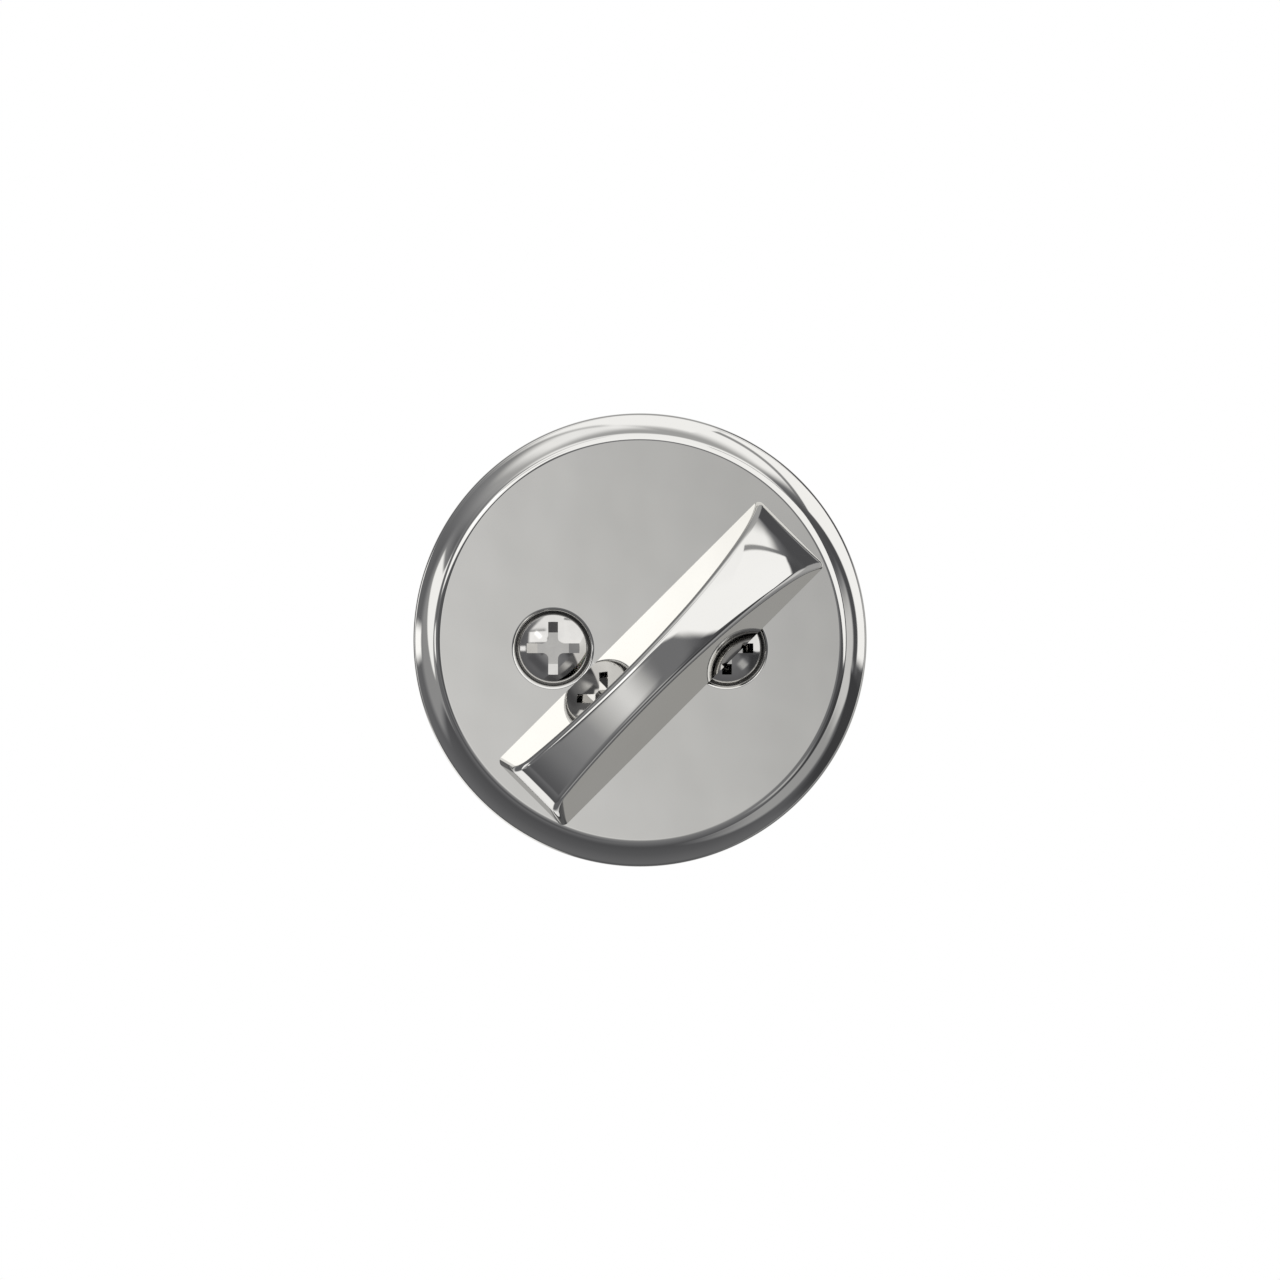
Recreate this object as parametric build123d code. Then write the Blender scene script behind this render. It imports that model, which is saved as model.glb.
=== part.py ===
from build123d import *
import os
from math import cos, radians, sin, tan

# Interior turn unit of a single sided deadbolt, in millimetres.
# Every piece is drawn facing up: x to the right, y up the door, z out of the door into the room,
# with z = 0 on the door's face and the origin at the centre of the rose.
# The finished pieces are then stood up, so that the room is towards -Y and up is +Z.

# Rose: a cast round cover with an ogee moulding round its rim
rose_diameter = 66.4
rose_height = 6.5
face_thickness = 2.2
shoulder_radius = 1.8
shoulder_slope = 43.0
cove_radius = 9.4
flange_slope = 25.0
edge_radius = 0.7
rim_wall = 2.4
hollow_draft = 15.0
rib_thickness = 1.6
rib_height = 3.2
rib_angles = (0, 60, 120, 180, 270)
boss_wall = 3.2
boss_setback = 0.4
cup_wall = 1.5
cup_floor = 1.8
lip_radius = 0.55

# Turn piece: an arch on a drafted bar, turning below the centre of the rose
pivot_drop = 6.5
turn_angle = 45.0
turn_width = 13.7
turn_long_reach = 31.4
turn_short_reach = 22.7
turn_height = 12.0
turn_side_draft = 19.0
turn_end_draft = 6.0
turn_end_radius = 3.85
turn_edge_radius = 1.1

# Spindle below the turn piece
spindle_diameter = 8.0
groove_diameter = 6.4
groove_slack = 0.1
spindle_tail = 11.0
slot_depth = 9.0
spindle_chamfer = 0.5
running_clearance = 0.05

# Bush that the spindle runs in
bush_wall = 1.2
bush_flange_diameter = 12.4
bush_flange_thickness = 2.0
bush_flange_proud = 1.0

# Spring washer, thrust washer and clip behind the rose
washer_diameter = 14.0
spring_washer_thickness = 0.5
spring_washer_height = 1.2
spring_washer_clearance = 0.4
spring_washer_slack = 0.02
thrust_washer_thickness = 0.8
thrust_washer_clearance = 0.1
clip_diameter = 13.4
clip_thickness = 0.9
clip_band = 2.0
clip_prong_width = 2.4
clip_prong_angle = 110.0
clip_mouth = 6.0

# Drive blade and its spring pin
blade_width = 6.4
blade_thickness = 2.4
blade_plate_gap = 1.6
blade_tip_taper = 1.2
blade_tip_length = 2.0
blade_side_clearance = 0.05
blade_end_clearance = 0.3
pin_diameter = 2.0
pin_wall = 0.4
pin_slit = 0.5
pin_setback = 4.6
pin_clearance = 0.05

# Mounting screws, one each side of the spindle
screw_spacing = 25.4
screw_drop = 1.2
screw_diameter = 5.0
screw_length = 34.0
screw_tip_chamfer = 0.8
head_diameter = 10.7
head_height = 2.4
head_rim = 0.8
turn_head_clearance = 0.35
head_clearance = 0.15
screw_hole_clearance = 0.3
cross_span = 7.6
cross_bottom_span = 4.8
cross_width = 1.42
cross_depth = 1.9
cross_core_diameter = 3.2
cross_core_draft = 10.0

# Anchor plate deep in the door, with two threaded posts staked into it
plate_diameter = 48.0
plate_thickness = 2.0
plate_depth = 32.0
plate_chamfer = 0.4
post_diameter = 8.0
post_length = 12.0
post_tenon_diameter = 6.4
post_thread_clearance = 0.05
post_chamfer = 0.5
stake_height = 0.5

# Levels worked out from the sizes above
rose_radius = rose_diameter / 2
face_back = rose_height - face_thickness
turn_base = rose_height + bush_flange_proud
washer_level = boss_setback - spring_washer_height
clip_level = washer_level - thrust_washer_thickness
groove_back = clip_level - clip_thickness
spindle_end = groove_back - spindle_tail
slot_top = spindle_end + slot_depth
pin_level = spindle_end + pin_setback
head_seat = turn_base - turn_head_clearance - head_height
bush_bore_radius = spindle_diameter / 2 + running_clearance
bush_radius = bush_bore_radius + bush_wall
recess_radius = head_diameter / 2 + head_clearance
pivot = Pos(0, -pivot_drop, 0)
turned = pivot * Rot(0, 0, turn_angle)
screw_places = [Pos(side * screw_spacing / 2, -screw_drop, 0) for side in (-1, 1)]


def disc(radius, bottom, top):
    """A plain cylinder on the z axis between two levels."""
    return Pos(0, 0, bottom) * extrude(Circle(radius), top - bottom)


def ring(outer_radius, inner_radius, bottom, top):
    """A flat ring on the z axis between two levels."""
    return Pos(0, 0, bottom) * extrude(Circle(outer_radius) - Circle(inner_radius), top - bottom)


def rose_shell():
    """The turned form of the rose: plateau, shoulder, cove and rounded edge, hollow behind."""
    steep = radians(shoulder_slope)
    shallow = radians(flange_slope)
    flange_r = rose_radius - edge_radius * (1 - sin(shallow))
    crest_r = flange_r - cove_radius * (sin(steep) - sin(shallow))
    plateau_r = crest_r - shoulder_radius * sin(steep)
    crest_z = rose_height - shoulder_radius * (1 - cos(steep))
    flange_z = crest_z - cove_radius * (cos(shallow) - cos(steep))
    edge_z = flange_z - edge_radius * cos(shallow)
    hollow_r = rose_radius - rim_wall
    hollow_top_r = hollow_r - face_back * tan(radians(hollow_draft))

    plateau = Line((0, rose_height), (plateau_r, rose_height))
    shoulder = TangentArc(plateau @ 1, (crest_r, crest_z), tangent=plateau % 1)
    cove = TangentArc(shoulder @ 1, (flange_r, flange_z), tangent=shoulder % 1)
    edge = TangentArc(cove @ 1, (rose_radius, edge_z), tangent=cove % 1)
    back = Polyline(
        edge @ 1,
        (rose_radius, 0),
        (hollow_r, 0),
        (hollow_top_r, face_back),
        (0, face_back),
        plateau @ 0,
    )
    section = make_face([plateau, shoulder, cove, edge, back])
    return revolve(Plane.XZ * section, Axis.Z)


def make_rose():
    """The cover: its shell, the spindle boss, two screw cups and the ribs behind the face."""
    shell = rose_shell()
    boss = pivot * disc(bush_radius + boss_wall, boss_setback, face_back)
    cup_back = head_seat - cup_floor
    cups = [place * disc(recess_radius + cup_wall, cup_back, face_back) for place in screw_places]
    inner_space = disc(rose_radius - rim_wall, 0, face_back)
    rib = Pos(rose_radius / 2, 0, face_back - rib_height / 2) * Box(rose_radius, rib_thickness, rib_height)
    ribs = [Rot(0, 0, angle) * rib & inner_space for angle in rib_angles]
    body = shell + boss + cups + ribs

    flange_seat = turn_base - bush_flange_thickness
    body -= pivot * disc(bush_radius, 0, rose_height)
    body -= pivot * disc(bush_flange_diameter / 2, flange_seat, rose_height)
    for place in screw_places:
        body -= place * disc(recess_radius, head_seat, rose_height)
        body -= place * disc(screw_diameter / 2 + screw_hole_clearance, 0, rose_height)
    face_edges = body.faces().sort_by(Axis.Z)[-1].edges().filter_by(GeomType.CIRCLE)
    lips = face_edges.filter_by(lambda edge: abs(edge.radius - recess_radius) < lip_radius / 2)
    return fillet(lips, lip_radius)


def make_thumbturn():
    """The turn piece: an elliptic arch on a drafted bar, cut off at its short end, with its spindle."""
    overshoot = 1.0
    top = turn_height + overshoot
    half_width = turn_width / 2
    top_half_width = half_width - top * tan(radians(turn_side_draft))
    lean = top * tan(radians(turn_end_draft))

    side_view = make_face(
        Polyline(
            (-turn_short_reach, 0),
            (turn_long_reach + overshoot, 0),
            (turn_long_reach + overshoot, top),
            (lean - turn_short_reach, top),
            close=True,
        )
    )
    arch_view = Ellipse(turn_long_reach, turn_height) & side_view
    arch = extrude(Plane.XZ * arch_view, turn_width / 2, both=True)
    short_end = arch.edges().filter_by(Axis.Y).sort_by(Axis.X)[:2].sort_by(Axis.Z)[-1]
    arch = fillet(short_end, turn_end_radius)

    end_view = make_face(
        Polyline(
            (-half_width, 0), (half_width, 0), (top_half_width, top), (-top_half_width, top), close=True
        )
    )
    handle = arch & extrude(Plane.YZ * end_view, turn_long_reach + overshoot, both=True)
    on_the_base = 0.01
    rim = handle.edges().filter_by(
        lambda edge: edge.center().Z > on_the_base and abs(edge.center().Y) > on_the_base
    )
    handle = fillet(rim, turn_edge_radius)

    spindle = disc(spindle_diameter / 2, spindle_end, turn_base)
    spindle = chamfer(spindle.edges().sort_by(Axis.Z)[0], spindle_chamfer)
    groove_top = clip_level + groove_slack
    spindle -= ring(spindle_diameter, groove_diameter / 2, groove_back, groove_top)
    slot_width = blade_thickness + 2 * blade_side_clearance
    slot = Box(spindle_diameter, slot_width, slot_depth, align=(Align.CENTER, Align.CENTER, Align.MIN))
    spindle -= Pos(0, 0, spindle_end) * slot
    spindle -= Pos(0, 0, pin_level) * Rot(90, 0, 0) * Cylinder(pin_diameter / 2, spindle_diameter)
    return turned * (Pos(0, 0, turn_base) * handle + spindle)


def make_spindle_bushing():
    """Flanged bush: its flange carries the turn piece just clear of the rose's face."""
    flange_seat = turn_base - bush_flange_thickness
    sleeve = ring(bush_radius, bush_bore_radius, boss_setback, flange_seat)
    return pivot * (sleeve + ring(bush_flange_diameter / 2, bush_bore_radius, flange_seat, turn_base))


def make_spring_washer():
    """Curved spring washer: a ring cut from strip bowed about the x axis."""
    outer_radius = washer_diameter / 2
    inner_radius = spindle_diameter / 2 + spring_washer_clearance
    bow = spring_washer_height - spring_washer_thickness - 2 * spring_washer_slack
    bend_radius = (outer_radius**2 + bow**2) / (2 * bow)
    crown = boss_setback - spring_washer_slack
    strip = ring(bend_radius, bend_radius - spring_washer_thickness, -outer_radius, outer_radius)
    strip = Pos(0, 0, crown - bend_radius) * Rot(0, 90, 0) * strip
    return pivot * (strip & ring(outer_radius, inner_radius, washer_level, boss_setback))


def make_thrust_washer():
    """Flat washer between the spring washer and the clip."""
    inner_radius = spindle_diameter / 2 + thrust_washer_clearance
    return pivot * ring(washer_diameter / 2, inner_radius, clip_level, washer_level)


def make_retaining_clip():
    """E-clip: a band open at one side, with three prongs that reach into the spindle's groove."""
    outer_radius = clip_diameter / 2
    band = Circle(outer_radius) - Circle(outer_radius - clip_band)
    band -= Pos(outer_radius / 2, 0) * Rectangle(outer_radius, clip_mouth)
    prong = Pos(outer_radius / 2, 0) * Rectangle(outer_radius, clip_prong_width)
    angles = (180, 180 - clip_prong_angle, 180 + clip_prong_angle)
    prongs = [Rot(0, 0, angle) * prong & Circle(outer_radius) for angle in angles]
    outline = band + prongs - Circle(groove_diameter / 2)
    return turned * Pos(0, 0, groove_back) * extrude(outline, clip_thickness)


def make_tailpiece():
    """Flat drive blade, pinned in the spindle's slot, with a tapered tip."""
    half = blade_width / 2
    start = slot_top - blade_end_clearance
    end = blade_plate_gap - plate_depth
    outline = make_face(
        Polyline(
            (-half, start),
            (half, start),
            (half, end + blade_tip_length),
            (half - blade_tip_taper, end),
            (blade_tip_taper - half, end),
            (-half, end + blade_tip_length),
            close=True,
        )
    )
    blade = extrude(Plane.XZ * outline, blade_thickness / 2, both=True)
    hole = Pos(0, 0, pin_level) * Rot(90, 0, 0) * Cylinder(pin_diameter / 2 + pin_clearance, blade_width)
    return turned * (blade - hole)


def make_tailpiece_pin():
    """Slotted spring pin across the spindle, as long as the spindle is thick."""
    outer_radius = pin_diameter / 2
    outline = Circle(outer_radius) - Circle(outer_radius - pin_wall)
    outline -= Pos(outer_radius, 0) * Rectangle(pin_diameter, pin_slit)
    pin = extrude(outline, spindle_diameter / 2 - spindle_chamfer, both=True)
    return turned * Pos(0, 0, pin_level) * Rot(90, 0, 0) * pin


def make_screw():
    """Dome-head machine screw with a cross recess, its head seated at the bottom of the rose's cup."""
    head_radius = head_diameter / 2
    head_top = head_seat + head_height
    rim_top = head_seat + head_rim
    underside = Polyline((0, head_top), (0, head_seat), (head_radius, head_seat), (head_radius, rim_top))
    dome = TangentArc((0, head_top), (head_radius, rim_top), tangent=(1, 0))
    screw = revolve(Plane.XZ * make_face([underside, dome]), Axis.Z)
    shank = disc(screw_diameter / 2, head_seat - screw_length, head_seat)
    screw += chamfer(shank.edges().sort_by(Axis.Z)[0], screw_tip_chamfer)

    bottom = head_top - cross_depth
    wing_view = make_face(
        Polyline(
            (-cross_bottom_span / 2, bottom),
            (cross_bottom_span / 2, bottom),
            (cross_span / 2, head_top),
            (-cross_span / 2, head_top),
            close=True,
        )
    )
    wing = extrude(Plane.XZ * wing_view, cross_width / 2, both=True)
    core_stands = (Align.CENTER, Align.CENTER, Align.MIN)
    core_bottom_radius = cross_core_diameter / 2 - cross_depth * tan(radians(cross_core_draft))
    core = Cone(core_bottom_radius, cross_core_diameter / 2, cross_depth, align=core_stands)
    return screw - wing - Rot(0, 0, 90) * wing - Pos(0, 0, bottom) * core


def make_anchor_plate():
    """Round plate that bears on the far side of the bolt case and takes the staked posts."""
    plate = disc(plate_diameter / 2, -plate_depth - plate_thickness, -plate_depth)
    plate = chamfer(plate.edges(), plate_chamfer)
    for place in screw_places:
        plate -= place * disc(post_tenon_diameter / 2, -plate_depth - plate_thickness, -plate_depth)
    return plate


def make_post():
    """Threaded post: a tube on the plate's near side, with a tenon staked over on the far side."""
    plate_back = -plate_depth - plate_thickness
    stake = disc(post_diameter / 2, plate_back - stake_height, plate_back)
    stake = chamfer(stake.edges().sort_by(Axis.Z)[0], stake_height / 2)
    body = disc(post_diameter / 2, -plate_depth, post_length - plate_depth)
    body = chamfer(body.edges().sort_by(Axis.Z)[-1], post_chamfer)
    tenon = disc(post_tenon_diameter / 2, plate_back, -plate_depth)
    bore_radius = screw_diameter / 2 + post_thread_clearance
    bore = disc(bore_radius, plate_back - stake_height, post_length - plate_depth)
    return body + tenon + stake - bore


nodes = {
    "rose": make_rose(),
    "thumbturn": make_thumbturn(),
    "spindle_bushing": make_spindle_bushing(),
    "spring_washer": make_spring_washer(),
    "thrust_washer": make_thrust_washer(),
    "retaining_clip": make_retaining_clip(),
    "tailpiece": make_tailpiece(),
    "tailpiece_pin": make_tailpiece_pin(),
    "mounting_screws": Compound([place * make_screw() for place in screw_places]),
    "anchor_plate": make_anchor_plate(),
    "threaded_posts": Compound([place * make_post() for place in screw_places]),
}

door = Plane(origin=(0, 0, 0), x_dir=(1, 0, 0), z_dir=(0, -1, 0))
os.makedirs("parts", exist_ok=True)
for name, solid in nodes.items():
    export_step(door.location * solid, f"parts/{name}.step")
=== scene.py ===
from math import acos, asin, atan2, cos, pi, radians, sin, sqrt, tan

import bmesh
import bpy
from mathutils import Matrix, Vector


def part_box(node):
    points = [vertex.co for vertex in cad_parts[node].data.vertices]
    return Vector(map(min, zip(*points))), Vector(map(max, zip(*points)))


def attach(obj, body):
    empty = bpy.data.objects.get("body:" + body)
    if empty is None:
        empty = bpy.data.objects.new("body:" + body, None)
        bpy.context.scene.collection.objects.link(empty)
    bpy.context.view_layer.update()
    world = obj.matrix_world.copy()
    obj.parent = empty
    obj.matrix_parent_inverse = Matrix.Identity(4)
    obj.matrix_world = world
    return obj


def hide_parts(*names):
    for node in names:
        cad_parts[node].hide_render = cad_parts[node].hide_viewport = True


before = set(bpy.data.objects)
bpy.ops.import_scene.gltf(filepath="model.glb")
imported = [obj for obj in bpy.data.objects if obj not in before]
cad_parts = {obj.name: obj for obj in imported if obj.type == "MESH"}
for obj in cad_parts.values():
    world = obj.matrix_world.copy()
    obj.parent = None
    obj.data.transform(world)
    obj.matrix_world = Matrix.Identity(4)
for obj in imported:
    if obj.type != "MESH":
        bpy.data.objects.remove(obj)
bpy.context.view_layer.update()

# Rose
# The round cover that shows on the door: a die casting, polished and plated with bright nickel.
# It is hollow behind, with a boss for the spindle, two cups for the screw heads and five ribs.
# Pieces are drawn lying on their backs in millimetres, z out of the door, and stood up at the end.
stand_up = Matrix.Rotation(radians(90), 4, "X") @ Matrix.Scale(0.001, 4)
rose_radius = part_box("rose")[1][0] * 1000
rose_height = -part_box("rose")[0][1] * 1000
face_back = rose_height - 2.2
shoulder_radius = 1.8
shoulder_slope = 43
cove_radius = 9.4
flange_slope = 25
edge_radius = 0.7
hollow_radius = rose_radius - 2.4
hollow_draft = 15
rib_thickness = 1.6
rib_height = 3.2
rib_angles = (0, 60, 120, 180, 270)
pivot_drop = 6.5
boss_radius = 8.45
boss_setback = 0.4
bush_radius = 5.25
bush_flange_radius = 6.2
bush_flange_seat = 5.5
screw_side = 12.7
screw_drop = 1.2
cup_radius = 7.0
cup_back = 2.95
recess_radius = 5.5
head_seat = 4.75
screw_hole_radius = 2.8
lip_radius = 0.55
rim_polish_width = 0.45
mask_margin = 0.02
profile_steps = 14
rose_steps = 256
cup_steps = 128
spindle_steps = 96
casting_crease = 35
same_point = 0.0001
on_the_edge = 0.01
past = 1.0
on_pivot = Matrix.Translation((0, -pivot_drop, 0))
screw_places = [Matrix.Translation((side * screw_side, -screw_drop, 0)) for side in (-1, 1)]


def straight(bm, tip, radius, height):
    """Carries an outline on from its tip in a straight line, and returns the new tip."""
    made = bmesh.ops.extrude_vert_indiv(bm, verts=[tip])["verts"][0]
    made.co = (radius, 0, height)
    return made


def rounded(bm, tip, centre_radius, centre_height, degrees, steps):
    """Carries an outline on round a centre, clockwise, and returns the new tip."""
    made = bmesh.ops.spin(
        bm,
        geom=[tip],
        cent=(centre_radius, 0, centre_height),
        axis=(0, 1, 0),
        angle=radians(degrees),
        steps=steps,
    )
    return [point for point in made["geom_last"] if isinstance(point, bmesh.types.BMVert)][0]


def turned_on_lathe(bm, steps):
    """Turns the outline once round the z axis and closes what is left open."""
    bmesh.ops.spin(
        bm,
        geom=bm.verts[:] + bm.edges[:],
        cent=(0, 0, 0),
        axis=(0, 0, 1),
        angle=2 * pi,
        steps=steps,
        use_merge=True,
    )
    bmesh.ops.remove_doubles(bm, verts=bm.verts, dist=same_point)
    bmesh.ops.holes_fill(bm, edges=bm.edges, sides=0)
    bmesh.ops.recalc_face_normals(bm, faces=bm.faces)


def turned_solid(points, steps):
    """A turned solid from the corners of half its section, given as radius and height."""
    bm = bmesh.new()
    tip = bm.verts.new((points[0][0], 0, points[0][1]))
    for radius, height in points[1:]:
        tip = straight(bm, tip, radius, height)
    turned_on_lathe(bm, steps)
    return bm


def bar(length, width, height):
    """A plain block about the origin."""
    bm = bmesh.new()
    bmesh.ops.create_cube(bm, size=1, matrix=Matrix.Diagonal((length, width, height, 1)))
    return bm


def piece_from(name, bm, place=Matrix()):
    """Makes an object of a mesh, moved to its place."""
    bm.transform(place)
    mesh = bpy.data.meshes.new(name)
    bm.to_mesh(mesh)
    bm.free()
    piece = bpy.data.objects.new(name, mesh)
    bpy.context.scene.collection.objects.link(piece)
    return piece


def fused(piece, how, others):
    """Adds the other solids to a piece, or cuts them from it, and leaves one closed skin."""
    for other in others:
        step = piece.modifiers.new(how, "BOOLEAN")
        step.operation = how
        step.solver = "EXACT"
        step.object = other
    ready = piece.evaluated_get(bpy.context.evaluated_depsgraph_get())
    skin = bpy.data.meshes.new_from_object(ready)
    piece.modifiers.clear()
    piece.data = skin
    for other in others:
        bpy.data.objects.remove(other)


def surfaced(piece, finish, crease=30):
    """Stands a piece up in its place on the door, smooth but for its creases, in its finish."""
    mesh = piece.data
    mesh.transform(stand_up)
    mesh.materials.clear()
    mesh.materials.append(finish)
    mesh.shade_smooth()
    mesh.set_sharp_from_angle(angle=radians(crease))
    flat = piece.modifiers.new("flats stay flat", "WEIGHTED_NORMAL")
    flat.keep_sharp = True
    flat.weight = 80


def add_node(tree, kind, inputs=(), **settings):
    """Adds a shader node with its settings, and sets or links its inputs."""
    made = tree.nodes.new("ShaderNode" + kind)
    for name, value in settings.items():
        setattr(made, name, value)
    for socket, value in dict(inputs).items():
        if isinstance(value, bpy.types.NodeSocket):
            tree.links.new(value, made.inputs[socket])
        else:
            made.inputs[socket].default_value = value
    return made


def new_finish(name):
    """An empty material with its shader, and the tree to build it in."""
    finish = bpy.data.materials.new(name)
    finish.use_nodes = True
    return finish, finish.node_tree, finish.node_tree.nodes["Principled BSDF"]


def mixed_colour(tree, amount, first, second):
    """Goes from one colour to another; the Mix node's colour sockets come after its others."""
    return add_node(tree, "Mix", {0: amount, 6: first, 7: second}, data_type="RGBA").outputs[2]


def new_group(name, inputs, outputs):
    """An empty node group with its sockets, and the ends to link from and to."""
    group = bpy.data.node_groups.new(name, "ShaderNodeTree")
    for socket, kind in inputs.items():
        group.interface.new_socket(socket, in_out="INPUT", socket_type="NodeSocket" + kind)
    for socket, kind in outputs.items():
        group.interface.new_socket(socket, in_out="OUTPUT", socket_type="NodeSocket" + kind)
    start = group.nodes.new("NodeGroupInput").outputs
    end = group.nodes.new("NodeGroupOutput").inputs
    return group, start, end


# Plated tone: the colour of a plated skin drifts a little in soft clouds.
plated_tone, given, result = new_group(
    "plated_tone", {"Light": "Color", "Dark": "Color", "Scale": "Float"}, {"Colour": "Color"}
)
place = add_node(plated_tone, "TexCoord").outputs["Object"]
clouds = add_node(plated_tone, "TexNoise", {"Vector": place, "Scale": given["Scale"], "Detail": 3.0})
cloud = clouds.outputs["Fac"]
drift = add_node(plated_tone, "MapRange", {"Value": cloud, "From Min": 0.3, "From Max": 0.7})
tone = mixed_colour(plated_tone, drift.outputs["Result"], given["Dark"], given["Light"])
plated_tone.links.new(tone, result["Colour"])

# Polish haze: what the buffing wheel leaves, from bright to hazy, in soft patches and fine hairlines.
polish_haze, given, result = new_group(
    "polish_haze",
    {"Bright": "Float", "Hazy": "Float", "Scale": "Float", "Hairlines": "Float"},
    {"Roughness": "Float"},
)
place = add_node(polish_haze, "TexCoord").outputs["Object"]
patches = add_node(polish_haze, "TexNoise", {"Vector": place, "Scale": given["Scale"], "Detail": 4.0})
stretch = add_node(polish_haze, "Mapping", {"Vector": place, "Rotation": (0, 0.6, 0), "Scale": (1, 1, 30)})
hairs = add_node(polish_haze, "TexNoise", {"Vector": stretch.outputs[0], "Scale": 160.0, "Detail": 2.0})
hair = hairs.outputs["Fac"]
hairs = add_node(polish_haze, "Math", {0: hair, 1: given["Hairlines"]}, operation="MULTIPLY")
both = add_node(polish_haze, "Math", {0: patches.outputs["Fac"], 1: hairs.outputs[0]}, operation="ADD")
level = add_node(
    polish_haze,
    "MapRange",
    {
        "Value": both.outputs[0],
        "From Min": 0.35,
        "From Max": 0.9,
        "To Min": given["Bright"],
        "To Max": given["Hazy"],
    },
)
polish_haze.links.new(level.outputs["Result"], result["Roughness"])


def place_group(tree, group, **values):
    """Puts a shared group in a finish with its own values."""
    made = tree.nodes.new("ShaderNodeGroup")
    made.node_tree = group
    for socket, value in values.items():
        made.inputs[socket].default_value = value
    return made.outputs[0]


# The buffing wheel reaches neither the walls of the screw cups nor the back, which stay dull as cast.
# The walls of the cups are painted darker than the back: painted shade in the recesses round the screw
# heads.
cast_back = (0.45, 0.445, 0.435, 1)
painted_cup_shade = (0.17, 0.168, 0.164, 1)
cast_roughness = 0.38
polished_nickel, tree, shader = new_finish("polished_nickel")
place = add_node(tree, "TexCoord").outputs["Object"]
apart = add_node(tree, "SeparateXYZ", {0: place}).outputs
sideways = add_node(tree, "Math", {0: apart["X"]}, operation="ABSOLUTE").outputs[0]
sideways = add_node(tree, "Math", {0: sideways, 1: screw_side / 1000}, operation="SUBTRACT").outputs[0]
upwards = add_node(tree, "Math", {0: apart["Z"], 1: screw_drop / 1000}, operation="ADD").outputs[0]
from_screw = add_node(tree, "CombineXYZ", {0: sideways, 1: upwards}).outputs[0]
from_screw = add_node(tree, "VectorMath", {0: from_screw}, operation="LENGTH").outputs["Value"]
cup_wall_limit = (recess_radius + mask_margin) / 1000
in_cup_dull_and_shaded = add_node(tree, "Math", {0: from_screw, 1: cup_wall_limit}, operation="LESS_THAN").outputs[0]
cup_wall_top = -(rose_height - lip_radius) / 1000
sunk = add_node(tree, "Math", {0: apart["Y"], 1: cup_wall_top}, operation="GREATER_THAN").outputs[0]
in_cup_dull_and_shaded = add_node(tree, "Math", {0: in_cup_dull_and_shaded, 1: sunk}, operation="MULTIPLY").outputs[0]
flat_place = add_node(tree, "CombineXYZ", {0: apart["X"], 1: apart["Z"]}).outputs[0]
from_middle = add_node(tree, "VectorMath", {0: flat_place}, operation="LENGTH").outputs["Value"]
inside_rim = (rose_radius - rim_polish_width) / 1000
behind_face = -(face_back + mask_margin) / 1000
in_rim = add_node(tree, "Math", {0: from_middle, 1: inside_rim}, operation="LESS_THAN").outputs[0]
at_back = add_node(tree, "Math", {0: apart["Y"], 1: behind_face}, operation="GREATER_THAN").outputs[0]
at_back = add_node(tree, "Math", {0: at_back, 1: in_rim}, operation="MULTIPLY").outputs[0]
as_cast = add_node(tree, "Math", {0: in_cup_dull_and_shaded, 1: at_back}, operation="MAXIMUM").outputs[0]
nickel = place_group(
    tree, plated_tone, Light=(0.72, 0.712, 0.692, 1), Dark=(0.7, 0.692, 0.668, 1), Scale=70
)
# Painted shade: the cup walls get a dark colour that stands in for the shade in the recesses, mixed with
# the dull cast back.
cast_tone_and_cup_shade = mixed_colour(tree, in_cup_dull_and_shaded, cast_back, painted_cup_shade)
tree.links.new(mixed_colour(tree, as_cast, nickel, cast_tone_and_cup_shade), shader.inputs["Base Color"])
polish = place_group(tree, polish_haze, Bright=0.02, Hazy=0.05, Scale=90, Hairlines=0.25)
dull = add_node(tree, "Mix", {"Factor": as_cast, "A": polish, "B": cast_roughness}).outputs["Result"]
tree.links.new(dull, shader.inputs["Roughness"])
shader.inputs["Metallic"].default_value = 1
ripple = add_node(tree, "TexNoise", {"Vector": place, "Scale": 75.0, "Detail": 1.5, "Roughness": 0.45})
bump = add_node(tree, "Bump", {"Height": ripple.outputs["Fac"], "Strength": 1.0, "Distance": 0.00003})
tree.links.new(bump.outputs["Normal"], shader.inputs["Normal"])

bm = bmesh.new()
steep = radians(shoulder_slope)
shallow = radians(flange_slope)
flange_radius = rose_radius - edge_radius * (1 - sin(shallow))
crest_radius = flange_radius - cove_radius * (sin(steep) - sin(shallow))
plateau_radius = crest_radius - shoulder_radius * sin(steep)
crest_height = rose_height - shoulder_radius * (1 - cos(steep))
flange_height = crest_height - cove_radius * (cos(shallow) - cos(steep))
tip = bm.verts.new((plateau_radius, 0, rose_height))
tip = rounded(bm, tip, plateau_radius, rose_height - shoulder_radius, shoulder_slope, profile_steps)
tip = rounded(
    bm,
    tip,
    crest_radius + cove_radius * sin(steep),
    crest_height + cove_radius * cos(steep),
    flange_slope - shoulder_slope,
    profile_steps,
)
tip = rounded(
    bm,
    tip,
    rose_radius - edge_radius,
    flange_height - edge_radius * cos(shallow),
    90 - flange_slope,
    profile_steps,
)
tip = straight(bm, tip, rose_radius, 0)
tip = straight(bm, tip, hollow_radius, 0)
tip = straight(bm, tip, hollow_radius - face_back * tan(radians(hollow_draft)), face_back)
turned_on_lathe(bm, rose_steps)
rose = piece_from("rose_cover", bm)

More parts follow.
